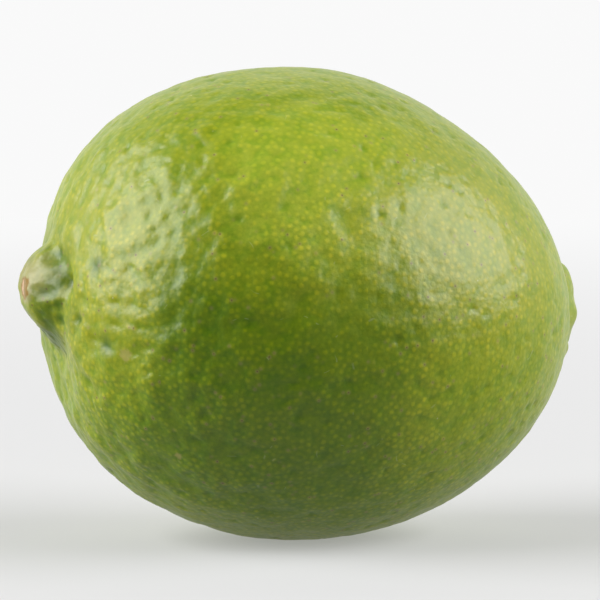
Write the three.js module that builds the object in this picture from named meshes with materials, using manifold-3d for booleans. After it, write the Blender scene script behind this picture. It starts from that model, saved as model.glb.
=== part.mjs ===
// One whole lime, lying on its side on a small flat spot, in millimetres.
// +X runs from the stem end to the nipple end and +Z is up. The origin is on the surface that
// the fruit rests on, under the middle of its box. The fruit grew as one piece, so it is one solid.
import * as THREE from 'three';
import * as BufferGeometryUtils from 'three/addons/utils/BufferGeometryUtils.js';
import Module from 'manifold-3d';

// The body, from its widest section. A fullness of 2 is an ellipse, and more is blunter.
const GIRTH_RADIUS = 27.5;
const STEM_HALF = { reach: 31.4, fullness: 2.52 };
const NIPPLE_HALF = { reach: 32.8, fullness: 1.82 };
const LEAN = 1.45; // the upper half leans this far to the stem, the lower half to the nipple
const STEM_LIFT = 3.0; // degrees by which the stem end lies higher
const FLAT_DEPTH = 0.42; // height of peel pressed flat where the fruit rests

// Broad swells and hollows of the body. All angles are in degrees: along is counted from the
// stem end, and around from the back (+Y) over the top (90) to the front.
const SWELLS = [
  { along: 33, around: 95, height: 0.65, reach: 17 },
  { along: 99, around: 90, height: 0.8, reach: 20 },
  { along: 15, around: 270, height: -1.5, reach: 13 },
  { along: 162, around: 80, height: -0.8, reach: 20 },
  { along: 86, around: 270, height: 0.42, reach: 10 },
];

// The neck, a knob round the scar of the stalk, with a few folds and a furrow round its foot.
const NECK_HEIGHT = 3.6;
const NECK_RADIUS = 6.2;
const NECK_FULLNESS = 1.64; // 1 is a cone and 2 a round dome
const NECK_RISE = 0.15; // its foot stands this far above the end of the body
const NECK_TURN_UP = 0.7; // its tip turns up this much more
const FOLDS = 7;
const FOLD_TURN = 12; // where the first fold stands, in degrees around
const FOLD_HEIGHT = 0.12;
const FOLD_RADIUS = 4.6;
const FOLD_WIDTH = 2.0;
const NECK_FURROW = { depth: 0.3, radius: 6.6, width: 1.3 };
const FURROW_DENTS = 3; // the furrow is deeper at this many places around
const SCAR_RADIUS = 1.25;
const SCAR_DEPTH = 0.55;

// The nipple, a low mound round the scar of the style, with a ring of lobes and a shallow furrow.
const NIPPLE_HEIGHT = 2.18;
const NIPPLE_RADIUS = 6.55;
const NIPPLE_FULLNESS = 1.84;
const NIPPLE_RISE = 1.34; // its middle stands this far above the end of the body
const LOBES = 6;
const LOBE_RISE = 0.28; // the middle of their ring stands this far above the end of the body
const LOBE_TURN = 61;
const LOBE_HEIGHT = 0.5;
const LOBE_RADIUS = 5.0;
const LOBE_WIDTH = 1.52;
const NIPPLE_FURROW = { depth: 0.34, radius: 6.75, width: 1.1 };
const TIP_HEIGHT = 0.53; // the tip stays at the end of the body
const TIP_RADIUS = 1.4;

const FOOT_ROUNDING = 0.16; // how softly the neck and the nipple run out at their feet

// The pitted peel. The pits are larger than life here, and shallow as on the fruit.
const PIT_SPACING = 4.0;
const PIT_RADIUS = 1.35;
const PIT_DEPTH = 0.2;
const PIT_SEED = 11;

const EDGE_SPLITS = 24; // each of the 20 faces that the surface starts from is split this finely
const END_FINENESS = 0.6; // how much finer the mesh is at the two ends
const END_WIDTH = 26;

const PEEL = new THREE.MeshStandardMaterial({ color: 0x8aa23c, roughness: 0.38, metalness: 0 });

const radians = THREE.MathUtils.degToRad;

// Unit direction from the middle of the fruit, by its angles along and around (radians).
function direction(along, around) {
  return new THREE.Vector3(
    -Math.cos(along),
    Math.sin(along) * Math.cos(around),
    Math.sin(along) * Math.sin(around),
  );
}

// A soft bump that is 1 at its centre and fades with the distance.
function fade(distance, reach) {
  return Math.exp(-((distance / reach) ** 2));
}

// The bare body: two half eggs that meet at the girth, leaning a little over each other.
function bodyPoint(along, around) {
  const half = along < Math.PI / 2 ? STEM_HALF : NIPPLE_HALF;
  const length = half.reach * Math.abs(Math.cos(along)) ** (2 / half.fullness);
  const out = Math.sin(along);
  return new THREE.Vector3(
    (along < Math.PI / 2 ? -length : length) - LEAN * Math.sin(around) * out ** 2,
    GIRTH_RADIUS * out * Math.cos(around),
    GIRTH_RADIUS * out * Math.sin(around),
  );
}

// How far the swells move the peel outwards in one direction.
function swelling(outward) {
  return SWELLS.reduce((total, swell) => {
    const centre = direction(radians(swell.along), radians(swell.around));
    return total + swell.height * fade(outward.angleTo(centre), radians(swell.reach));
  }, 0);
}

// A raised round form: 1 in the middle, running out softly to 0 at its foot.
function mound(distance, radius, fullness) {
  const height = 1 - (distance / radius) ** fullness;
  return (height + Math.hypot(height, FOOT_ROUNDING)) / 2;
}

// Distance and angle of a point from an axis along X that stands this far above the origin.
function polar(point, rise) {
  const up = point.z - rise;
  return { distance: Math.hypot(point.y, up), around: Math.atan2(up, point.y) };
}

// How deep a furrow round the middle of an end is at one distance from it.
function furrowing(distance, furrow) {
  return furrow.depth * fade(distance - furrow.radius, furrow.width);
}

// Adds the neck to a point near the stem end: the knob, its folds, its furrow and the scar's cup.
function addNeck(point) {
  const { distance, around } = polar(point, NECK_RISE);
  const knob = mound(distance, NECK_RADIUS, NECK_FULLNESS);
  const folds = Math.cos(FOLDS * (around - radians(FOLD_TURN)));
  const dents = 1 + 0.4 * Math.sin(FURROW_DENTS * around);
  point.x -= NECK_HEIGHT * knob;
  point.x -= FOLD_HEIGHT * folds * fade(distance - FOLD_RADIUS, FOLD_WIDTH);
  point.x += furrowing(distance, NECK_FURROW) * dents;
  point.x += SCAR_DEPTH * fade(distance, SCAR_RADIUS);
  point.z += NECK_TURN_UP * knob;
}

// Adds the nipple to a point near the other end: the mound, its lobes, its furrow and the tip.
function addNipple(point) {
  const mid = polar(point, NIPPLE_RISE);
  const ring = polar(point, LOBE_RISE);
  const lobes = (1 + Math.cos(LOBES * (ring.around - radians(LOBE_TURN)))) / 2;
  point.x += NIPPLE_HEIGHT * mound(mid.distance, NIPPLE_RADIUS, NIPPLE_FULLNESS);
  point.x += LOBE_HEIGHT * lobes * fade(ring.distance - LOBE_RADIUS, LOBE_WIDTH);
  point.x -= furrowing(mid.distance, NIPPLE_FURROW);
  point.x += TIP_HEIGHT * fade(polar(point, 0).distance, TIP_RADIUS);
}

// Places the pits on a spiral of even spacing, each moved by up to a quarter of that at random.
function pitCentres() {
  const draw = THREE.MathUtils.seededRandom;
  draw(PIT_SEED);
  const peelArea = 4 * Math.PI * GIRTH_RADIUS * STEM_HALF.reach;
  const count = Math.round(peelArea / PIT_SPACING ** 2);
  const goldenAngle = Math.PI * (3 - Math.sqrt(5));
  const moved = () => ((draw() - 0.5) * PIT_SPACING) / (2 * GIRTH_RADIUS);
  return Array.from({ length: count }, (_, index) => {
    const along = Math.acos(1 - (2 * (index + 0.5)) / count) + moved();
    const around = index * goldenAngle + moved() / Math.sin(along);
    return { outward: direction(along, around), depth: PIT_DEPTH * (0.5 + draw()) };
  });
}

// How deep the pits lie in one direction.
function pitting(outward, pits) {
  const reach = PIT_RADIUS / GIRTH_RADIUS;
  const nearby = Math.cos(3 * reach);
  return pits.reduce((total, pit) => {
    const cosine = outward.dot(pit.outward);
    return cosine < nearby ? total : total + pit.depth * fade(Math.acos(Math.min(1, cosine)), reach);
  }, 0);
}

// Draws the mesh together at the two ends, where the neck and the nipple need finer faces.
function gathered(along) {
  const fromStem = along < Math.PI / 2;
  const fromEnd = fromStem ? along : Math.PI - along;
  const near = fromEnd * (1 - END_FINENESS * fade(fromEnd, radians(END_WIDTH)));
  return fromStem ? near : Math.PI - near;
}

// The point of the peel in one direction, in the fruit's own axes.
function peelPoint(vertex, pits) {
  const along = gathered(Math.acos(THREE.MathUtils.clamp(-vertex.x, -1, 1)));
  const around = Math.atan2(vertex.z, vertex.y);
  const outward = direction(along, around);
  const point = bodyPoint(along, around);
  point.addScaledVector(outward, swelling(outward) - pitting(outward, pits));
  if (point.x < 0) {
    addNeck(point);
  } else {
    addNipple(point);
  }
  return point;
}

// The closed surface of the fruit, with the stem end lifted and its lowest point under z = 0.
function peelGeometry() {
  const sphere = new THREE.IcosahedronGeometry(1, EDGE_SPLITS - 1);
  sphere.deleteAttribute('normal');
  sphere.deleteAttribute('uv');
  const cornerToAxis = Math.atan2(2, 1 + Math.sqrt(5));
  sphere.rotateY(cornerToAxis);
  const geometry = BufferGeometryUtils.mergeVertices(sphere);
  const position = geometry.getAttribute('position');
  const pits = pitCentres();
  const vertex = new THREE.Vector3();
  for (let index = 0; index < position.count; index += 1) {
    const point = peelPoint(vertex.fromBufferAttribute(position, index), pits);
    position.setXYZ(index, point.x, point.y, point.z);
  }
  geometry.rotateY(radians(STEM_LIFT));
  geometry.computeBoundingBox();
  const { min, max } = geometry.boundingBox;
  return geometry.translate(-(min.x + max.x) / 2, -(min.y + max.y) / 2, -min.z - FLAT_DEPTH);
}

// Turns a closed geometry into a solid, and a solid back into a geometry.
function solidOf(wasm, geometry) {
  return new wasm.Manifold(new wasm.Mesh({
    numProp: 3,
    vertProperties: new Float32Array(geometry.getAttribute('position').array),
    triVerts: new Uint32Array(geometry.getIndex().array),
  }));
}

function geometryOf(solid) {
  const mesh = solid.getMesh();
  const geometry = new THREE.BufferGeometry();
  geometry.setAttribute('position', new THREE.BufferAttribute(mesh.vertProperties, 3));
  geometry.setIndex(new THREE.BufferAttribute(mesh.triVerts, 1));
  geometry.computeVertexNormals();
  return geometry;
}

// What lies under the surface that the fruit rests on, to be cut away for the flat spot.
function groundGeometry() {
  const side = 4 * GIRTH_RADIUS;
  const ground = new THREE.BoxGeometry(side, side, GIRTH_RADIUS);
  ground.deleteAttribute('normal');
  ground.deleteAttribute('uv');
  ground.translate(0, 0, -GIRTH_RADIUS / 2);
  return BufferGeometryUtils.mergeVertices(ground);
}

const wasm = await Module();
wasm.setup();

const fruit = solidOf(wasm, peelGeometry()).subtract(solidOf(wasm, groundGeometry()));
const lime = new THREE.Mesh(geometryOf(fruit), PEEL);
lime.name = 'lime';

const part = new THREE.Group();
part.add(lime);

export default part;
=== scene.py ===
import math

import bpy
import numpy as np
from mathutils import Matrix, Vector


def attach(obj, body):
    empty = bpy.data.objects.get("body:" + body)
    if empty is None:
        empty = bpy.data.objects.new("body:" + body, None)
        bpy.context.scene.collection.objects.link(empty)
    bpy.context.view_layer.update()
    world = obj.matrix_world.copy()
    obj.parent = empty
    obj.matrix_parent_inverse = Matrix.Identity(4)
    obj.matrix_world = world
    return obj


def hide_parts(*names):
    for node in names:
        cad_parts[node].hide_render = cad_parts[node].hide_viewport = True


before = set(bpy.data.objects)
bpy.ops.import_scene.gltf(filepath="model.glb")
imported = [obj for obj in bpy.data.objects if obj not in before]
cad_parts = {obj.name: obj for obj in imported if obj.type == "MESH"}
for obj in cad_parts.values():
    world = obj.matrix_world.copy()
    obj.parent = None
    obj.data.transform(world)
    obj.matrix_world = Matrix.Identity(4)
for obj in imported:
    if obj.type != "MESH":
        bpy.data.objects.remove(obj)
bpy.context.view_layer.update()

# The camera. The fruit is seen from a little above the table, with the stem end turned a
# little towards the viewer, by a long lens from close by. The picture is 600 x 600 pixels.
MM = 0.001
VIEW_AZIMUTH = math.radians(-18)
VIEW_ELEVATION = math.radians(4)
VIEW_DISTANCE = 420 * MM
VIEW_WIDTH = 71.0 * MM  # what the picture spans at the middle of the fruit
VIEW_CENTRE = Vector((-0.44, 0.1, 28.12)) * MM
SENSOR = 36.0


def outward(azimuth, elevation):
    """Unit direction from the fruit to a place round it: azimuth 0 is the front, -Y."""
    flat = math.cos(elevation)
    return Vector((math.sin(azimuth) * flat, -math.cos(azimuth) * flat, math.sin(elevation)))


def aimed(data, name, place, target):
    """Puts a camera or a light at a place, looking at a target."""
    holder = bpy.data.objects.new(name, data)
    holder.location = place
    holder.rotation_euler = (Vector(target) - Vector(place)).to_track_quat("-Z", "Y").to_euler()
    bpy.context.scene.collection.objects.link(holder)
    return holder


camera = bpy.data.cameras.new("camera")
camera.sensor_width = SENSOR
camera.lens = SENSOR * VIEW_DISTANCE / VIEW_WIDTH
camera.clip_start = 0.02
camera_place = VIEW_CENTRE + VIEW_DISTANCE * outward(VIEW_AZIMUTH, VIEW_ELEVATION)
bpy.context.scene.camera = aimed(camera, "camera", camera_place, VIEW_CENTRE)
bpy.context.scene.view_settings.view_transform = "Standard"

# The light. Two large softboxes stand to the left and the right of the fruit and leave the two
# broad pale veils on its peel. Behind it a pale wall gives its rim a sheen. The viewer's side of
# the room is dim, so the middle of the fruit is darker.
BOX_DISTANCE = 2.6
LEFT_BOX = {"turn": -79.5, "rise": 27, "width": 2.45, "height": 2.5, "radiance": 5.8}
RIGHT_BOX = {"turn": 82.5, "rise": 27, "width": 2.65, "height": 2.0, "radiance": 5.35}
DIM_SIDE = 0.03
WALL_TONE = 0.95
WALL_START, WALL_FULL = 0.25, 0.85  # how far towards the wall a direction points, as a cosine


def node(tree, kind, settings=(), **links):
    """Adds a node. A link is a socket or a value, by the input's name with _ for a space."""
    made = tree.nodes.new(kind)
    for name, value in dict(settings).items():
        setattr(made, name, value)
    for name, value in links.items():
        key = int(name[1:]) if name[0] == "i" and name[1:].isdigit() else name.replace("_", " ")
        if isinstance(value, bpy.types.NodeSocket):
            tree.links.new(value, made.inputs[key])
        else:
            made.inputs[key].default_value = value
    return made


def maths(tree, operation, *values):
    """The result of one scalar operation."""
    links = {f"i{k}": value for k, value in enumerate(values)}
    return node(tree, "ShaderNodeMath", {"operation": operation}, **links).outputs[0]


def product(tree, first, *others):
    """All the values multiplied together."""
    for other in others:
        first = maths(tree, "MULTIPLY", first, other)
    return first


def vectors(tree, operation, *values, result="Vector"):
    """The result of one vector operation."""
    links = {f"i{k}": value for k, value in enumerate(values)}
    return node(tree, "ShaderNodeVectorMath", {"operation": operation}, **links).outputs[result]


def ramp(tree, value, low, high, start=0.0, end=1.0):
    """Start below low and end above high, with a soft passage between them."""
    settings = {"interpolation_type": "SMOOTHSTEP"}
    ends = {"From_Min": low, "From_Max": high, "To_Min": start, "To_Max": end}
    return node(tree, "ShaderNodeMapRange", settings, Value=value, **ends).outputs["Result"]


def softbox(name, turn, rise, width, height, radiance):
    """A rectangular light that looks at the fruit; its radiance is 1 where white paper is 1."""
    lamp = bpy.data.lights.new(name, "AREA")
    lamp.shape = "RECTANGLE"
    lamp.size = width
    lamp.size_y = height
    lamp.energy = radiance * math.pi * width * height
    from_fruit = outward(VIEW_AZIMUTH + math.radians(turn), math.radians(rise))
    return aimed(lamp, name, VIEW_CENTRE + BOX_DISTANCE * from_fruit, VIEW_CENTRE)


softbox("left_softbox", **LEFT_BOX)
softbox("right_softbox", **RIGHT_BOX)

room = bpy.data.worlds.new("studio")
room.use_nodes = True
room_tree = room.node_tree
looking = room_tree.nodes.new("ShaderNodeTexCoord").outputs["Generated"]
to_wall = vectors(room_tree, "DOT_PRODUCT", looking, -outward(VIEW_AZIMUTH, 0), result="Value")
lit_tone = ramp(room_tree, to_wall, WALL_START, WALL_FULL, DIM_SIDE, WALL_TONE)
seen = room_tree.nodes.new("ShaderNodeLightPath").outputs["Is Camera Ray"]
room_tone = maths(room_tree, "MAXIMUM", lit_tone, product(room_tree, seen, WALL_TONE))
room_tree.links.new(room_tone, room_tree.nodes["Background"].inputs["Color"])
bpy.context.scene.world = room

# The floor: matt pale paper over a light table. Away from the fruit the table's glow takes over,
# until it is as bright as the wall, so the floor has no edge in the picture. Towards the viewer
# its light is flagged off, so that it leaves no veil on the fruit's near side.
FLOOR_SIDE = 8.0
FLOOR_TONE = 0.42
NEAR_GLOW = 0.3
GLOW_START, GLOW_FULL = 0.03, 0.8  # metres from the fruit
FLAG_START, FLAG_FULL = 0.03, 0.085  # metres from the fruit
FLAG_FRONT, FLAG_BACK = -0.5, 1.0  # how far towards the wall that light comes from, as a cosine
FLAGGED_TONE, OPEN_TONE = 0.02, 0.7  # the glow that the fruit gets from afar, in front and behind
CLOSE_FRONT, CLOSE_BACK = 0.3, 0.5  # and from close by
BOUNCE_TONE = 0.12


def new_material(name):
    """A material with its Principled BSDF, ready for its values."""
    material = bpy.data.materials.new(name)
    material.use_nodes = True
    return material, material.node_tree, material.node_tree.nodes["Principled BSDF"]


half = FLOOR_SIDE / 2
floor_mesh = bpy.data.meshes.new("floor")
floor_corners = [(-half, -half, 0), (half, -half, 0), (half, half, 0), (-half, half, 0)]
floor_mesh.from_pydata(floor_corners, [], [(0, 1, 2, 3)])
floor = bpy.data.objects.new("floor", floor_mesh)
bpy.context.scene.collection.objects.link(floor)
paper, paper_tree, paper_shader = new_material("matt_paper")
floor_place = paper_tree.nodes.new("ShaderNodeTexCoord").outputs["Object"]
from_fruit = vectors(paper_tree, "LENGTH", floor_place, result="Value")
floor_way = vectors(paper_tree, "NORMALIZE", floor_place)
behind = vectors(paper_tree, "DOT_PRODUCT", floor_way, -outward(VIEW_AZIMUTH, 0), result="Value")
by_eye = paper_tree.nodes.new("ShaderNodeLightPath").outputs["Is Camera Ray"]
paper_tone = ramp(paper_tree, from_fruit, GLOW_START, GLOW_FULL, FLOOR_TONE, 0.0)
paper_tone = ramp(paper_tree, by_eye, 0.0, 1.0, BOUNCE_TONE, paper_tone)
paper_tree.links.new(paper_tone, paper_shader.inputs["Base Color"])
glow = ramp(paper_tree, from_fruit, GLOW_START, GLOW_FULL, NEAR_GLOW, WALL_TONE)
far_glow = ramp(paper_tree, behind, FLAG_FRONT, FLAG_BACK, FLAGGED_TONE, OPEN_TONE)
close_glow = ramp(paper_tree, behind, FLAG_FRONT, FLAG_BACK, CLOSE_FRONT, CLOSE_BACK)
thrown = ramp(paper_tree, from_fruit, FLAG_START, FLAG_FULL, close_glow, far_glow)
glow = ramp(paper_tree, by_eye, 0.0, 1.0, thrown, glow)
paper_tree.links.new(glow, paper_shader.inputs["Emission Color"])
paper_shader.inputs["Emission Strength"].default_value = 1.0
paper_shader.inputs["Roughness"].default_value = 1.0
paper_shader.inputs["Specular IOR Level"].default_value = 0.0
floor_mesh.materials.append(paper)

# The body of the fruit: two half eggs that meet at the girth and lean a little over each
# other, with broad swells, a knobbed neck round the stalk's scar and a low lobed nipple. It
# grew as one piece, so its skin is one closed surface. Lengths here are in millimetres.
GIRTH_RADIUS = 27.5
STEM_REACH, STEM_FULLNESS = 31.4, 2.52
NIPPLE_REACH, NIPPLE_FULLNESS = 32.8, 1.82
LEAN = 1.45
STEM_LIFT = math.radians(3.0)
FLAT_DEPTH = 0.42
SWELLS = [  # degrees along from the stem end, degrees around, height, reach in degrees
    (33, 95, 0.65, 17),
    (99, 90, 0.8, 20),
    (15, 270, -1.5, 13),
    (162, 80, -0.8, 20),
    (86, 270, 0.42, 10),
]
NECK_HEIGHT, NECK_RADIUS, NECK_DOME = 3.6, 6.2, 1.64
NECK_RISE, NECK_TURN_UP = 0.15, 0.7
FOLDS, FOLD_TURN, FOLD_HEIGHT, FOLD_RADIUS, FOLD_WIDTH = 7, math.radians(12), 0.05, 4.6, 2.0
NECK_FURROW = (0.3, 6.6, 1.3)  # depth, radius, width
FOOT_ROUNDING = 0.24
FURROW_DENTS, DENT_SHARE = 3, 0.4  # the furrow is deeper at three places around
SCAR_RADIUS, SCAR_DEPTH = 1.25, 0.55
SHRUNKEN_END = ((-32.0, 0.0, 30.0), 18.0, 0.12)  # place, radius and depth of a broad hollow
HOLLOWS = [  # place, radius and depth of dents round the neck's foot, on the viewer's side
    ((-32.9, -3.9, 30.0), 1.1, 0.5),
    ((-30.1, -6.7, 31.2), 1.2, 1.2),
    ((-30.8, -5.4, 28.6), 0.9, 0.35),
    ((-31.0, -5.2, 26.9), 0.9, 0.3),
    ((-29.9, -9.4, 27.2), 0.8, 0.35),
    ((-30.9, -3.6, 34.4), 1.1, 0.35),
    ((-28.9, -12.4, 33.6), 1.2, 0.3),
    ((-28.2, -13.8, 24.4), 1.1, 0.25),
]
NIPPLE_HEIGHT, NIPPLE_RADIUS, NIPPLE_DOME, NIPPLE_RISE = 2.18, 6.55, 1.84, 1.34
LOBES, LOBE_TURN, LOBE_RISE = 6, math.radians(61), 0.28
LOBE_HEIGHT, LOBE_RADIUS, LOBE_WIDTH = 0.5, 5.0, 1.52
NIPPLE_FURROW = (0.34, 6.75, 1.1)
KNOBS = [  # as the hollows, for the lobes and notches on the nipple's edge
    ((32.0, -2.5, 31.7), 1.3, -0.35),
    ((33.4, -2.9, 27.6), 0.7, 0.22),
    ((31.0, -6.0, 22.2), 1.1, -0.45),
]
TIP_HEIGHT, TIP_RADIUS = 0.53, 1.4
END_FINENESS, END_WIDTH = 0.45, math.radians(26)
FAR_RING = 40.0  # stands for a place on the other half, far from an end's middle
CUBE_SPLITS = 128  # squares along each side of the cube that the skin is drawn from


def rounded_cube(splits):
    """Unit directions and squares of a cube blown up to a ball, its six faces joined up."""
    turn = np.tan(np.linspace(-math.pi / 4, math.pi / 4, splits + 1))
    a, b = np.meshgrid(turn, turn, indexing="ij")
    one = np.ones_like(a)
    faces = [(one, a, b), (-one, b, a), (b, one, a), (a, -one, b), (a, b, one), (b, a, -one)]
    points = np.concatenate([np.stack(face, -1).reshape(-1, 3) for face in faces])
    _, first, joined = np.unique(np.round(points, 6), axis=0, return_index=True, return_inverse=True)
    row = np.arange(splits)
    corner = (row[:, None] * (splits + 1) + row[None, :]).ravel()
    square = np.stack([corner, corner + splits + 1, corner + splits + 2, corner + 1], -1)
    squares = np.concatenate([square + side * (splits + 1) ** 2 for side in range(6)])
    ball = points[first]
    return ball / np.linalg.norm(ball, axis=1, keepdims=True), joined.ravel()[squares]


def fade(distance, reach):
    """A soft bump that is 1 at its centre and fades with the distance."""
    return np.exp(-((distance / reach) ** 2))


def direction(along, around):
    """Unit vector by the angle from the stem end and the angle from the back over the top."""
    out = np.sin(along)
    return np.stack([-np.cos(along), out * np.cos(around), out * np.sin(around)], -1)


def gathered(along):
    """Draws the mesh together at the two ends."""
    from_end = np.minimum(along, math.pi - along)
    near = from_end * (1 - END_FINENESS * fade(from_end, END_WIDTH))
    return np.where(along < math.pi / 2, near, math.pi - near)


def body(along, around):
    """The bare body with its swells."""
    stem_half = along < math.pi / 2
    reach = np.where(stem_half, -STEM_REACH, NIPPLE_REACH)
    dome = np.where(stem_half, STEM_FULLNESS, NIPPLE_FULLNESS)
    out = np.sin(along)
    x = reach * np.abs(np.cos(along)) ** (2 / dome) - LEAN * np.sin(around) * out**2
    girth = GIRTH_RADIUS * out
    points = np.stack([x, girth * np.cos(around), girth * np.sin(around)], -1)
    away = direction(along, around)
    for swell_along, swell_around, height, swell_reach in SWELLS:
        centre = direction(math.radians(swell_along), math.radians(swell_around))
        angle = np.arccos(np.clip(away @ centre, -1, 1))
        points += away * (height * fade(angle, math.radians(swell_reach)))[:, None]
    return points


def polar(points, rise):
    """Distance from the middle of an end, and the angle round it."""
    up = points[:, 2] - rise
    return np.hypot(points[:, 1], up), np.arctan2(up, points[:, 1])


def mound(distance, radius, dome):
    """A raised round form, 1 in the middle, that runs out softly at its foot."""
    height = 1 - (distance / radius) ** dome
    return (height + np.hypot(height, FOOT_ROUNDING)) / 2


def furrowing(distance, furrow):
    depth, radius, width = furrow
    return depth * fade(distance - radius, width)


def with_neck(points):
    """The knob, its folds, its furrow and the cup of the scar, on the stem half."""
    distance, around = polar(points, NECK_RISE)
    knob = mound(distance, NECK_RADIUS, NECK_DOME)
    height = NECK_HEIGHT * knob
    folds = FOLD_HEIGHT * np.cos(FOLDS * (around - FOLD_TURN))
    height += folds * fade(distance - FOLD_RADIUS, FOLD_WIDTH)
    height -= furrowing(distance, NECK_FURROW) * (1 + DENT_SHARE * np.sin(FURROW_DENTS * around))
    height -= SCAR_DEPTH * fade(distance, SCAR_RADIUS)
    return points + np.stack([-height, 0 * knob, NECK_TURN_UP * knob], -1)


def with_nipple(points):
    """The mound, its lobes, its furrow and the tip, on the other half."""
    distance, _ = polar(points, NIPPLE_RISE)
    ring_distance, ring_around = polar(points, LOBE_RISE)
    lobes = (1 + np.cos(LOBES * (ring_around - LOBE_TURN))) / 2
    height = NIPPLE_HEIGHT * mound(distance, NIPPLE_RADIUS, NIPPLE_DOME)
    height += LOBE_HEIGHT * lobes * fade(ring_distance - LOBE_RADIUS, LOBE_WIDTH)
    height -= furrowing(distance, NIPPLE_FURROW)
    height += TIP_HEIGHT * fade(polar(points, 0)[0], TIP_RADIUS)
    return points + np.stack([height, 0 * height, 0 * height], -1)


def laid_down(points):
    """Lifts the stem end and stands the fruit over the origin, its lowest peel under z = 0."""
    cos, sin = math.cos(STEM_LIFT), math.sin(STEM_LIFT)
    x, y, z = points.T
    laid = np.stack([x * cos + z * sin, y, z * cos - x * sin], -1)
    low, high = laid.min(0), laid.max(0)
    return laid - np.array([(low[0] + high[0]) / 2, (low[1] + high[1]) / 2, low[2] + FLAT_DEPTH])


def dented(points):
    """Presses the hollows in towards the middle of the fruit."""
    middle = points.mean(0)
    inward = (middle - points) / np.linalg.norm(middle - points, axis=1, keepdims=True)
    for place, radius, depth in [SHRUNKEN_END, *HOLLOWS, *KNOBS]:
        away = np.linalg.norm(points - np.array(place), axis=1)
        points = points + inward * (depth * fade(away, radius))[:, None]
    return points


ball, squares = rounded_cube(CUBE_SPLITS)
along = gathered(np.arccos(np.clip(-ball[:, 0], -1, 1)))
around = np.arctan2(ball[:, 2], ball[:, 1])
bare = body(along, around)
fruit = dented(laid_down(np.where(bare[:, :1] < 0, with_neck(bare), with_nipple(bare))))
skin_mesh = bpy.data.meshes.new("lime_peel")
skin_mesh.from_pydata((fruit * MM).tolist(), [], squares.tolist())
skin_mesh.polygons.foreach_set("use_smooth", [True] * len(squares))
skin = bpy.data.objects.new("lime_peel", skin_mesh)
bpy.context.scene.collection.objects.link(skin)
at_stem = bare[:, 0] < 0
stem_ring = np.where(at_stem, polar(bare, NECK_RISE)[0], FAR_RING)
skin_mesh.attributes.new("stem_ring", "FLOAT", "POINT").data.foreach_set("value", stem_ring)

# The relief of the peel: soft ripples, shallow pits where glands have sunk, and the oil
# glands themselves, which lie about a millimetre apart all over. The flat spot is where the
# peel is pressed on the surface that the fruit rests on.
RIPPLE_SIZE = 3.7 * MM
RIPPLE_HEIGHT = 0.72 * MM
CRINKLE_SIZE = 1.3 * MM
CRINKLE_HEIGHT = 0.2 * MM
LEVEL = 0.62  # the noise that moves nothing; its mean is 0.5, so most of the peel sinks a little
SMOOTH_SIDE, ROUGH_SIDE = 0.5, 1.22  # the waves are highest on one side, towards the stem
ROUGH_WAY = Vector((-0.75, -0.6, -0.1)).normalized()
ROUGH_START, ROUGH_FULL = 0.3, 0.9  # how far towards that side a direction points, as a cosine
RELIEF_MIDDLE = (0.0, 0.0, 28 * MM)  # where the directions are taken from
END_CRINKLING = 0.1  # how much more the peel crinkles round the neck
END_REACH = 10.0  # in millimetres, as the stem ring is
PIT_SPACING = 2.0 * MM
PIT_RADIUS = 0.44 * MM
PIT_DEPTH = 0.22 * MM
STRAY_SIZE, STRAY_REACH = 1.1 * MM, 1.6 * MM  # how the pits are bent out of round
GLAND_SPACING = 0.76 * MM
SPECK_SPACING = 1.95 * MM
RELIEF_SEED = 7
CROWDING = 6.0  # points thrown for each square of the spacing, before the close ones are dropped
HALF_TONE = (0.5, 0.5, 0.5)  # the middle of a colour drawn at random

relief = bpy.data.node_groups.new("peel_relief", "GeometryNodeTree")
relief_inputs = {}


def tree_input(name, kind, value=None):
    """Adds a named input to the relief's tree and notes its value for the modifier."""
    made = relief.interface.new_socket(name, in_out="INPUT", socket_type=kind)
    if value is not None:
        relief_inputs[made.identifier] = value
    return made


def scaled(tree, vector, factor):
    """A vector times a number."""
    made = node(tree, "ShaderNodeVectorMath", {"operation": "SCALE"}, i0=vector, Scale=factor)
    return made.outputs["Vector"]


tree_input("Geometry", "NodeSocketGeometry")
tree_input("Ripple Size", "NodeSocketFloat", RIPPLE_SIZE)
tree_input("Ripple Height", "NodeSocketFloat", RIPPLE_HEIGHT)
tree_input("Crinkle Size", "NodeSocketFloat", CRINKLE_SIZE)
tree_input("Crinkle Height", "NodeSocketFloat", CRINKLE_HEIGHT)
tree_input("Smooth Side", "NodeSocketFloat", SMOOTH_SIDE)
tree_input("Rough Side", "NodeSocketFloat", ROUGH_SIDE)
tree_input("Rough Way", "NodeSocketVector", ROUGH_WAY)
tree_input("End Crinkling", "NodeSocketFloat", END_CRINKLING)
tree_input("End Reach", "NodeSocketFloat", END_REACH)
tree_input("Pit Spacing", "NodeSocketFloat", PIT_SPACING)
tree_input("Pit Radius", "NodeSocketFloat", PIT_RADIUS)
tree_input("Pit Depth", "NodeSocketFloat", PIT_DEPTH)
tree_input("Gland Spacing", "NodeSocketFloat", GLAND_SPACING)
tree_input("Speck Spacing", "NodeSocketFloat", SPECK_SPACING)
tree_input("Seed", "NodeSocketInt", RELIEF_SEED)
tree_input("Peel", "NodeSocketMaterial")
relief.interface.new_socket("Geometry", in_out="OUTPUT", socket_type="NodeSocketGeometry")
given = relief.nodes.new("NodeGroupInput").outputs
place = relief.nodes.new("GeometryNodeInputPosition").outputs["Position"]
normal = relief.nodes.new("GeometryNodeInputNormal").outputs["Normal"]


def scattered(spacing, seed_step):
    """Points over the whole peel, no two closer than the spacing."""
    crowd = maths(relief, "DIVIDE", CROWDING, product(relief, spacing, spacing))
    points = node(
        relief,
        "GeometryNodeDistributePointsOnFaces",
        {"distribute_method": "POISSON"},
        Mesh=given["Geometry"],
        Distance_Min=spacing,
        Density_Max=crowd,
        Seed=maths(relief, "ADD", given["Seed"], seed_step),
    )
    return points.outputs["Points"]


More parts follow.
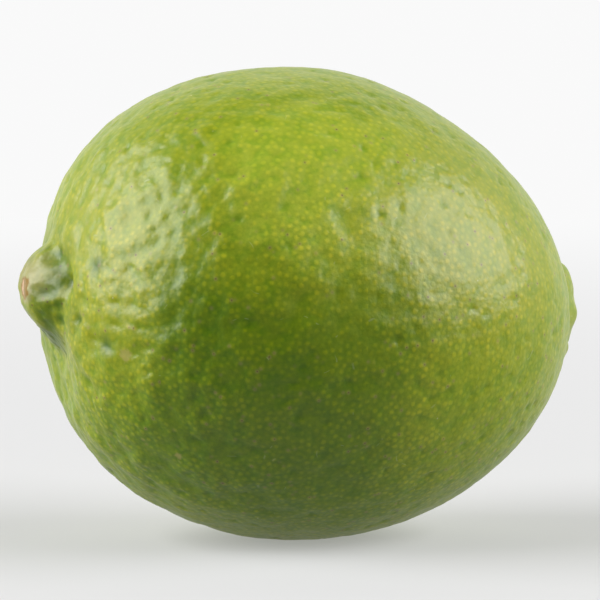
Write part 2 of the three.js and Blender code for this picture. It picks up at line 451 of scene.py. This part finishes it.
def nearest(points, where):
    """The place of the nearest of the points."""
    index = node(
        relief,
        "GeometryNodeSampleNearest",
        {"domain": "POINT"},
        Geometry=points,
        Sample_Position=where,
    )
    found = node(
        relief,
        "GeometryNodeSampleIndex",
        {"data_type": "FLOAT_VECTOR", "domain": "POINT"},
        Geometry=points,
        Value=place,
        Index=index.outputs["Index"],
    )
    return found.outputs["Value"]


def noise(tree, where, size, detail=2.0, roughness=0.5):
    """A noise texture whose features are about the given size; its value and colour sockets."""
    scale = maths(tree, "DIVIDE", 1.0, size)
    kinds = {"Detail": detail, "Roughness": roughness}
    made = node(tree, "ShaderNodeTexNoise", Vector=where, Scale=scale, **kinds)
    return made.outputs[0], made.outputs[1]


def luck(tree, vector):
    """A value drawn at random for each place in a list of places, and a colour as three more."""
    drawn = node(tree, "ShaderNodeTexWhiteNoise", {"noise_dimensions": "3D"}, Vector=vector)
    return drawn.outputs["Value"], drawn.outputs["Color"]


def bell(tree, distance, reach):
    """1 at the centre, fading with the distance as a bell curve."""
    share = maths(tree, "DIVIDE", distance, reach)
    return maths(tree, "EXPONENT", product(tree, share, share, -1.0))


def rolling(size, height):
    """Smooth ups and downs of the peel of one size, a little more down than up."""
    value, _ = noise(relief, place, size, detail=1.0)
    return product(relief, maths(relief, "SUBTRACT", value, LEVEL), height)


def stored(geometry, name, kind, domain, value):
    """The geometry with one more named attribute."""
    made = node(
        relief,
        "GeometryNodeStoreNamedAttribute",
        {"data_type": kind, "domain": domain},
        Geometry=geometry,
        Name=name,
        Value=value,
    )
    return made.outputs["Geometry"]


glands = scattered(given["Gland Spacing"], 1)
specks = scattered(given["Speck Spacing"], 2)
pits = scattered(given["Pit Spacing"], 3)
_, wander = noise(relief, place, STRAY_SIZE)
stray = scaled(relief, vectors(relief, "SUBTRACT", wander, HALF_TONE), STRAY_REACH)
wandered = vectors(relief, "ADD", place, stray)
pit_place = nearest(pits, wandered)
pit_distance = vectors(relief, "DISTANCE", wandered, pit_place, result="Value")
pit_luck, _ = luck(relief, pit_place)
pit_strength = product(relief, pit_luck, pit_luck)
pit_shape = product(relief, bell(relief, pit_distance, given["Pit Radius"]), pit_strength)
ripple = rolling(given["Ripple Size"], given["Ripple Height"])
crinkle = rolling(given["Crinkle Size"], given["Crinkle Height"])
end_ring = node(relief, "GeometryNodeInputNamedAttribute", {"data_type": "FLOAT"}, Name="stem_ring")
near_stem = bell(relief, end_ring.outputs["Attribute"], given["End Reach"])
end_extra = product(relief, near_stem, given["End Crinkling"])
way = vectors(relief, "NORMALIZE", vectors(relief, "SUBTRACT", place, RELIEF_MIDDLE))
rough_share = vectors(relief, "DOT_PRODUCT", way, given["Rough Way"], result="Value")
share = ramp(relief, rough_share, ROUGH_START, ROUGH_FULL, given["Smooth Side"], given["Rough Side"])
waves = maths(relief, "ADD", ripple, crinkle)
waves = product(relief, waves, maths(relief, "ADD", share, end_extra))
rise = maths(relief, "SUBTRACT", waves, product(relief, pit_shape, given["Pit Depth"]))
marked = stored(given["Geometry"], "pit", "FLOAT", "POINT", pit_shape)
marked = stored(marked, "rise", "FLOAT", "POINT", crinkle)
marked = stored(marked, "gland_at", "FLOAT_VECTOR", "FACE", nearest(glands, place))
marked = stored(marked, "speck_at", "FLOAT_VECTOR", "FACE", nearest(specks, place))
raised = vectors(relief, "ADD", place, scaled(relief, normal, rise))
above_floor = vectors(relief, "MAXIMUM", raised, (-1.0, -1.0, 0.0))
shaped = node(relief, "GeometryNodeSetPosition", Geometry=marked, Position=above_floor).outputs["Geometry"]
real = node(relief, "GeometryNodeRealizeInstances", Geometry=shaped).outputs["Geometry"]
dressed = node(relief, "GeometryNodeSetMaterial", Geometry=real, Material=given["Peel"]).outputs["Geometry"]
node(relief, "NodeGroupOutput", Geometry=dressed)

# The finish of the peel: waxy, yellow-green where the sun reached it and deep green on the side
# that hung in the shade. On the lower side that faces the viewer the deep green is partly painted
# shade, and the paler green on the upper side that faces the viewer is partly painted light.
# Painted shade also darkens the furrow and the dents round the neck, the low parts of the crinkle,
# the pits and the viewer's side of the scar's cup. There is a yellow dot over each oil gland,
# brown pin-pricks with tan rims, fine pale scratches, and a dry tan scar where the stalk came off.
FRUIT_MIDDLE = (0.0, 0.0, 27.8 * MM)
FRUIT_HALVES = (34.4 * MM, 27.5 * MM, 27.8 * MM)
SHADE_SIDE = Vector((-0.32, -0.8, -0.51)).normalized()
DEEP_GREEN_AND_SHADE = (0.152, 0.243, 0.001)
LEAF_GREEN = (0.278, 0.349, 0.013)
UNDER_GREEN = (0.236, 0.314, 0.005)
PALE_GREEN_AND_LIGHT = (0.38, 0.46, 0.034)
SUNNY_GREEN = (0.34, 0.378, 0.014)
UNDER_START, UNDER_FULL = -0.2, -0.8  # where each tone starts and is full, as cosines
LIT_START, LIT_FULL = 0.87, 0.99
SUN_START, SUN_FULL = 0.8, 1.0
SHADE_START, SHADE_FULL = 0.65, 0.96
UNDER_DRIFT = (8 * MM, 0.3)  # size and spread of the slow changes in each tone
SUN_DRIFT = (9 * MM, 0.2)
SHADE_DRIFTS = [(10 * MM, 0.16), (2.6 * MM, 0.14)]
LIT_SIDE = (-0.09, -0.83, 0.55)
SUN_SIDES = [(-0.93, -0.3, 0.2), (0.42, -0.85, 0.3), (0.2, 0.9, 0.4)]
SHADE_PATCHES = [  # SHADE_PATCHES = [ # place and radius in millimetres, and how much deeper the deep green and painted shade go
    ((-21.3, -22.0, 27.8), 5.5, 0.18),
    ((-27.6, -14.7, 25.1), 5.5, -0.38),
    ((-26.7, -16.5, 28.7), 4.0, -0.07),
    ((11.5, -22.5, 15.6), 9.0, -0.34),
    ((-15.0, -8.0, 4.1), 6.0, -0.1),
    ((-8.6, -27.0, 29.6), 5.0, -0.02),
    ((6.1, -26.8, 27.5), 5.5, 0.06),
]
MOTTLE_SIZE = 0.42 * MM
MOTTLE_TINT = (0.66, 0.78, 0.6)
MOTTLE_EDGE = (0.38, 0.66)
MOTTLE_SHADE, MOTTLE_SHARES = (0.1, 0.8), (0.15, 0.5)  # it shows more on the shaded side
# Painted shade in the low parts of the crinkle and in the pits; in the pits the darker green is partly the
# peel's own.
HOLLOW_SHADE_TINT = (0.76, 0.89, 0.72)
HOLLOW_START, HOLLOW_FULL = -0.01 * MM, -0.06 * MM  # how low the crinkled peel lies
PIT_SHADE_TINT = (0.74, 0.86, 0.6)
GLAND_TINT = (1.68, 1.36, 1.25)
# Painted shade round the neck: a darker green in its furrow and in the dents at its foot.
NECK_SHADE_GREEN = (0.07, 0.145, 0.001)
NECK_SHADE_RING, NECK_SHADE_WIDTH = 5.0, 3.4  # distance from the stem's axis, in millimetres
NECK_SHADE_SHARE = 0.95
NECK_PATCH_SIZE = 3.4 * MM
NECK_PATCH_EDGE, NECK_PATCH_SHARES = (0.35, 0.6), (0.2, 0.8)
PRICK_BROWN = (0.085, 0.045, 0.02)
PRICK_TAN = (0.42, 0.31, 0.14)
FLECK_PALE = (0.62, 0.66, 0.42)
FLUSH_TAN = (0.4, 0.36, 0.16)
SCAR_PLACE = (-34.5, -0.9, 30.4)
SCAR_BROWN = (0.29, 0.17, 0.02)
SCAR_PEACH = (0.68, 0.45, 0.28)
SCAR_TAN = (0.46, 0.4, 0.12)
OLD_SCARS = [  # place and radius in millimetres
    ((-26.3, -16.2, 23.5), 1.0),
    ((-20.05, -15.8, 11.9), 0.6),
    ((-9.8, -0.6, 55.1), 0.35),
    ((-2.0, -2.1, 55.7), 0.35),
]
NECK_SPECKS = [
    (-32.9, -4.15, 30.4),
    (-33.8, -2.4, 28.4),
    (-32.3, -4.4, 28.9),
    (-30.7, -5.9, 28.75),
    (-29.55, -11.3, 29.6),
    (-31.0, -4.75, 33.0),
]
PEEL_ROUGHNESS = 0.36
PEEL_IOR = 1.5
GLAND_RADIUS = 0.275 * MM
GLAND_OUTER, GLAND_INNER = 1.6 * GLAND_RADIUS, 0.4 * GLAND_RADIUS
GLAND_DRAWS = (-0.8, 1.3)  # the draws that would give no dot and a full one
GLAND_SHADE, GLAND_SHARES = (0.3, 0.9), (0.55, 1.05)  # the dots show more on the shaded side
GLAND_RISE = 0.008 * MM
GRAIN_SIZE = 0.38 * MM
GRAIN_RISE = 0.022 * MM
DIMPLE_SIZE = 0.8 * MM
DIMPLE_RISE = 0.038 * MM
PRICK_RADIUS = 0.095 * MM
PRICK_RIM = 0.23 * MM
PRICK_DRIFT = (13 * MM, 1.2)
PRICK_DRAWS = (0.6, 0.66)
RIM_SHARE, CORE_SHARE = 0.5, 0.85
TWIN_REACH = 1.6 * MM  # pricks come in pairs about this far apart
FLECK_RADIUS = 0.8 * PRICK_RADIUS
FLECK_DRAWS = (0.05, 0.03)
NECK_SPECK_RADIUS, NECK_SPECK_SHARE = 1.3 * PRICK_RADIUS, 0.8
SCRATCH_SIZE = 8.0 * MM
SCRATCH_LEVEL, SCRATCH_WIDTH = 0.52, 0.006  # a scratch is a contour line of a noise this wide
SCRATCH_PART_SIZE, SCRATCH_PART_EDGE = 0.9 * MM, (0.66, 0.74)
SCRATCH_SHARE = 0.2
SCAR_DRIFT = (0.9 * MM, 1.1)
SCAR_EDGE, SCAR_MIDDLE = (1.5, 1.2), (1.3, 0.9)  # rings round the stem's scar, in millimetres
# The brown on the viewer's side of the scar's cup is painted shade over the scar's own brown.
SCAR_SHADE_SIDE, SCAR_SHADE_SIDE_DRIFT = (-0.7 * MM, 0.0), (0.8 * MM, 1.2 * MM)
FLUSH_RING, FLUSH_CORE = (5.2, 1.8), (2.4, 1.5)
FLUSH_HEIGHT = (28.6 * MM, 32.5 * MM)
FLUSH_SHARE = 0.75
OLD_SCAR_DRIFT_SIZE, OLD_SCAR_DRIFT = 0.7 * MM, 1.6  # size, and spread by the scar's radius
OLD_SCAR_INNER = 0.4
OLD_SCAR_SHARE = 0.6

peel, peel_tree, peel_shader = new_material("lime_peel")
where = peel_tree.nodes.new("ShaderNodeTexCoord").outputs["Object"]


def attribute(name, output):
    return node(peel_tree, "ShaderNodeAttribute", {"attribute_name": name}).outputs[output]


def blended(tree, amount, first, second, way="MIX"):
    """Two colours blended by an amount."""
    made = tree.nodes.new("ShaderNodeMix")
    made.data_type = "RGBA"
    made.blend_type = way
    for socket, value in ((made.inputs[0], amount), (made.inputs[6], first), (made.inputs[7], second)):
        if isinstance(value, bpy.types.NodeSocket):
            tree.links.new(value, socket)
        elif isinstance(value, tuple):
            socket.default_value = (*value, 1)
        else:
            socket.default_value = value
    return made.outputs[2]


def drift(size, spread, detail=2.0):
    """A slow change over the peel, about zero, within plus or minus half the spread."""
    value, _ = noise(peel_tree, where, size, detail=detail)
    return product(peel_tree, maths(peel_tree, "SUBTRACT", value, 0.5), spread)


from_middle = vectors(peel_tree, "SUBTRACT", where, FRUIT_MIDDLE)
ray = vectors(peel_tree, "NORMALIZE", from_middle)
facing = vectors(peel_tree, "NORMALIZE", vectors(peel_tree, "DIVIDE", from_middle, FRUIT_HALVES))


def away_from(spot):
    """Distance over the peel from a spot in millimetres, however high or low the peel lies there."""
    reach = Vector(spot) * MM - Vector(FRUIT_MIDDLE)
    apart = vectors(peel_tree, "DISTANCE", ray, tuple(reach.normalized()), result="Value")
    return product(peel_tree, apart, reach.length)


side = node(peel_tree, "ShaderNodeSeparateXYZ", Vector=facing).outputs
# The shade field puts the deep green on the lower side that faces the viewer: partly the peel's deeper
# green, partly painted shade.
shade = vectors(peel_tree, "DOT_PRODUCT", facing, SHADE_SIDE, result="Value")
for drift_size, drift_spread in SHADE_DRIFTS:
    shade = maths(peel_tree, "ADD", shade, drift(drift_size, drift_spread))
for patch_place, patch_radius, patch_amount in SHADE_PATCHES:
    patch = bell(peel_tree, away_from(patch_place), patch_radius * MM)
    shade = maths(peel_tree, "ADD", shade, product(peel_tree, patch, patch_amount))
under = maths(peel_tree, "ADD", side["Z"], drift(*UNDER_DRIFT))
ground = blended(peel_tree, ramp(peel_tree, under, UNDER_START, UNDER_FULL), LEAF_GREEN, UNDER_GREEN)
# Painted light: a paler green on the upper side that faces the viewer, partly the peel's paler tone.
lit_share = vectors(peel_tree, "DOT_PRODUCT", facing, LIT_SIDE, result="Value")
lit_share = maths(peel_tree, "ADD", lit_share, drift(*SUN_DRIFT))
ground = blended(peel_tree, ramp(peel_tree, lit_share, LIT_START, LIT_FULL), ground, PALE_GREEN_AND_LIGHT)
for sun_side in SUN_SIDES:
    sun = vectors(peel_tree, "DOT_PRODUCT", facing, sun_side, result="Value")
    sun = maths(peel_tree, "ADD", sun, drift(*SUN_DRIFT))
    ground = blended(peel_tree, ramp(peel_tree, sun, SUN_START, SUN_FULL), ground, SUNNY_GREEN)
# Painted shade: the deep green, deepest on the viewer's lower side.
ground = blended(peel_tree, ramp(peel_tree, shade, SHADE_START, SHADE_FULL), ground, DEEP_GREEN_AND_SHADE)
# Painted shade: a darker green in patches along the furrow round the neck and in the dents at its foot.
stem_ring = attribute("stem_ring", "Fac")
neck_patch, _ = noise(peel_tree, where, NECK_PATCH_SIZE)
off_ring = maths(peel_tree, "SUBTRACT", stem_ring, NECK_SHADE_RING)
near_neck = bell(peel_tree, off_ring, NECK_SHADE_WIDTH)
neck_patched = ramp(peel_tree, neck_patch, *NECK_PATCH_EDGE, *NECK_PATCH_SHARES)
neck_shade = product(peel_tree, near_neck, neck_patched)
in_furrow = 0.0
for hollow_place, hollow_radius, _ in HOLLOWS:
    in_hollow = bell(peel_tree, away_from(hollow_place), hollow_radius * MM)
    in_furrow = maths(peel_tree, "MAXIMUM", in_furrow, in_hollow)
neck_shade = maths(peel_tree, "MAXIMUM", neck_shade, in_furrow)
ground = blended(peel_tree, product(peel_tree, neck_shade, NECK_SHADE_SHARE), ground, NECK_SHADE_GREEN)
# Painted shade: the low parts of the crinkle and the pits are darkened.
hollow_shade = ramp(peel_tree, attribute("rise", "Fac"), HOLLOW_START, HOLLOW_FULL)
ground = blended(peel_tree, hollow_shade, ground, HOLLOW_SHADE_TINT, "MULTIPLY")
ground = blended(peel_tree, attribute("pit", "Fac"), ground, PIT_SHADE_TINT, "MULTIPLY")
mottle, _ = noise(peel_tree, where, MOTTLE_SIZE, detail=1.0)
mottled = ramp(peel_tree, mottle, *MOTTLE_EDGE)
mottled = product(peel_tree, mottled, ramp(peel_tree, shade, *MOTTLE_SHADE, *MOTTLE_SHARES))
ground = blended(peel_tree, mottled, ground, MOTTLE_TINT, "MULTIPLY")

gland_at = attribute("gland_at", "Vector")
gland_distance = vectors(peel_tree, "DISTANCE", where, gland_at, result="Value")
gland_dot = ramp(peel_tree, gland_distance, GLAND_OUTER, GLAND_INNER)
gland_luck, _ = luck(peel_tree, gland_at)
gland_tone = product(peel_tree, gland_dot, ramp(peel_tree, gland_luck, *GLAND_DRAWS))
gland_tone = product(peel_tree, gland_tone, ramp(peel_tree, shade, *GLAND_SHADE, *GLAND_SHARES))
ground = blended(peel_tree, gland_tone, ground, GLAND_TINT, "MULTIPLY")

speck_at = attribute("speck_at", "Vector")
speck_luck, speck_throw = luck(peel_tree, speck_at)
beside = scaled(peel_tree, vectors(peel_tree, "SUBTRACT", speck_throw, HALF_TONE), TWIN_REACH)
twin_at = vectors(peel_tree, "ADD", speck_at, beside)
first_away = vectors(peel_tree, "DISTANCE", where, speck_at, result="Value")
twin_away = vectors(peel_tree, "DISTANCE", where, twin_at, result="Value")
prick_away = maths(peel_tree, "MINIMUM", first_away, twin_away)
pricked = ramp(peel_tree, maths(peel_tree, "ADD", speck_luck, drift(*PRICK_DRIFT)), *PRICK_DRAWS)
rim_amount = product(peel_tree, bell(peel_tree, prick_away, PRICK_RIM), pricked, RIM_SHARE)
core_amount = product(peel_tree, bell(peel_tree, prick_away, PRICK_RADIUS), pricked, CORE_SHARE)
ground = blended(peel_tree, rim_amount, ground, PRICK_TAN)
ground = blended(peel_tree, core_amount, ground, PRICK_BROWN)
flecked = ramp(peel_tree, speck_luck, *FLECK_DRAWS)
fleck_amount = product(peel_tree, bell(peel_tree, first_away, FLECK_RADIUS), flecked)
ground = blended(peel_tree, fleck_amount, ground, FLECK_PALE)

scratch_field, _ = noise(peel_tree, where, SCRATCH_SIZE, detail=1.0)
scratch_line = maths(peel_tree, "SUBTRACT", scratch_field, SCRATCH_LEVEL)
scratch_line = maths(peel_tree, "ABSOLUTE", scratch_line)
scratch_part, _ = noise(peel_tree, where, SCRATCH_PART_SIZE, detail=0.0)
in_part = ramp(peel_tree, scratch_part, *SCRATCH_PART_EDGE)
scratch_amount = ramp(peel_tree, scratch_line, SCRATCH_WIDTH, 0.0)
scratch_amount = product(peel_tree, scratch_amount, in_part, SCRATCH_SHARE)
ground = blended(peel_tree, scratch_amount, ground, FLECK_PALE)

wobble = drift(*SCAR_DRIFT)
scar_ring = maths(peel_tree, "ADD", maths(peel_tree, "DIVIDE", away_from(SCAR_PLACE), MM), wobble)
on_neck = node(peel_tree, "ShaderNodeSeparateXYZ", Vector=where).outputs
flush = ramp(peel_tree, on_neck["Z"], *FLUSH_HEIGHT)
flush = product(peel_tree, ramp(peel_tree, scar_ring, *FLUSH_RING), flush)
flush = maths(peel_tree, "MAXIMUM", flush, ramp(peel_tree, scar_ring, *FLUSH_CORE))
ground = blended(peel_tree, product(peel_tree, flush, FLUSH_SHARE), ground, FLUSH_TAN)
# Painted shade: the scar is brown on the viewer's side of its cup, over the scar's own brown, and peach in
# the middle of the far side.
scar_shade_side = maths(peel_tree, "ADD", on_neck["Y"], drift(*SCAR_SHADE_SIDE_DRIFT))
scar_inside = ramp(peel_tree, scar_shade_side, *SCAR_SHADE_SIDE)
scar_inside = maths(peel_tree, "MINIMUM", scar_inside, ramp(peel_tree, scar_ring, *SCAR_MIDDLE))
scar_tone = blended(peel_tree, scar_inside, SCAR_BROWN, SCAR_PEACH)
ground = blended(peel_tree, ramp(peel_tree, scar_ring, *SCAR_EDGE), ground, scar_tone)
for speck_place in NECK_SPECKS:
    speck = bell(peel_tree, away_from(speck_place), NECK_SPECK_RADIUS)
    ground = blended(peel_tree, product(peel_tree, speck, NECK_SPECK_SHARE), ground, PRICK_BROWN)
for scar_place, scar_radius in OLD_SCARS:
    scar_edge = scar_radius * MM
    ragged = drift(OLD_SCAR_DRIFT_SIZE, OLD_SCAR_DRIFT * scar_edge)
    scar_away = maths(peel_tree, "ADD", away_from(scar_place), ragged)
    scarred = ramp(peel_tree, scar_away, scar_edge, OLD_SCAR_INNER * scar_edge)
    scarred = product(peel_tree, scarred, OLD_SCAR_SHARE)
    ground = blended(peel_tree, scarred, ground, SCAR_TAN)
peel_tree.links.new(ground, peel_shader.inputs["Base Color"])

grain, _ = noise(peel_tree, where, GRAIN_SIZE, detail=2.0)
relief_height = product(peel_tree, gland_dot, GLAND_RISE)
relief_height = maths(peel_tree, "ADD", relief_height, product(peel_tree, grain, GRAIN_RISE))
dimple, _ = noise(peel_tree, where, DIMPLE_SIZE, detail=1.0)
relief_height = maths(peel_tree, "ADD", relief_height, product(peel_tree, dimple, DIMPLE_RISE))
bump = node(peel_tree, "ShaderNodeBump", Height=relief_height, Distance=1.0, Strength=1.0)
peel_tree.links.new(bump.outputs["Normal"], peel_shader.inputs["Normal"])
peel_shader.inputs["Roughness"].default_value = PEEL_ROUGHNESS
peel_shader.inputs["IOR"].default_value = PEEL_IOR

relief_modifier = skin.modifiers.new("relief", "NODES")
relief_modifier.node_group = relief
for identifier, value in relief_inputs.items():
    relief_modifier[identifier] = value
peel_socket = relief.interface.items_tree["Peel"].identifier
relief_modifier[peel_socket] = peel
skin.data.materials.append(peel)
bpy.context.view_layer.update()
evaluated = skin.evaluated_get(bpy.context.evaluated_depsgraph_get())
finished_mesh = bpy.data.meshes.new_from_object(evaluated)
skin.modifiers.clear()
skin.data = finished_mesh
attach(skin, "root")
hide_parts("lime")
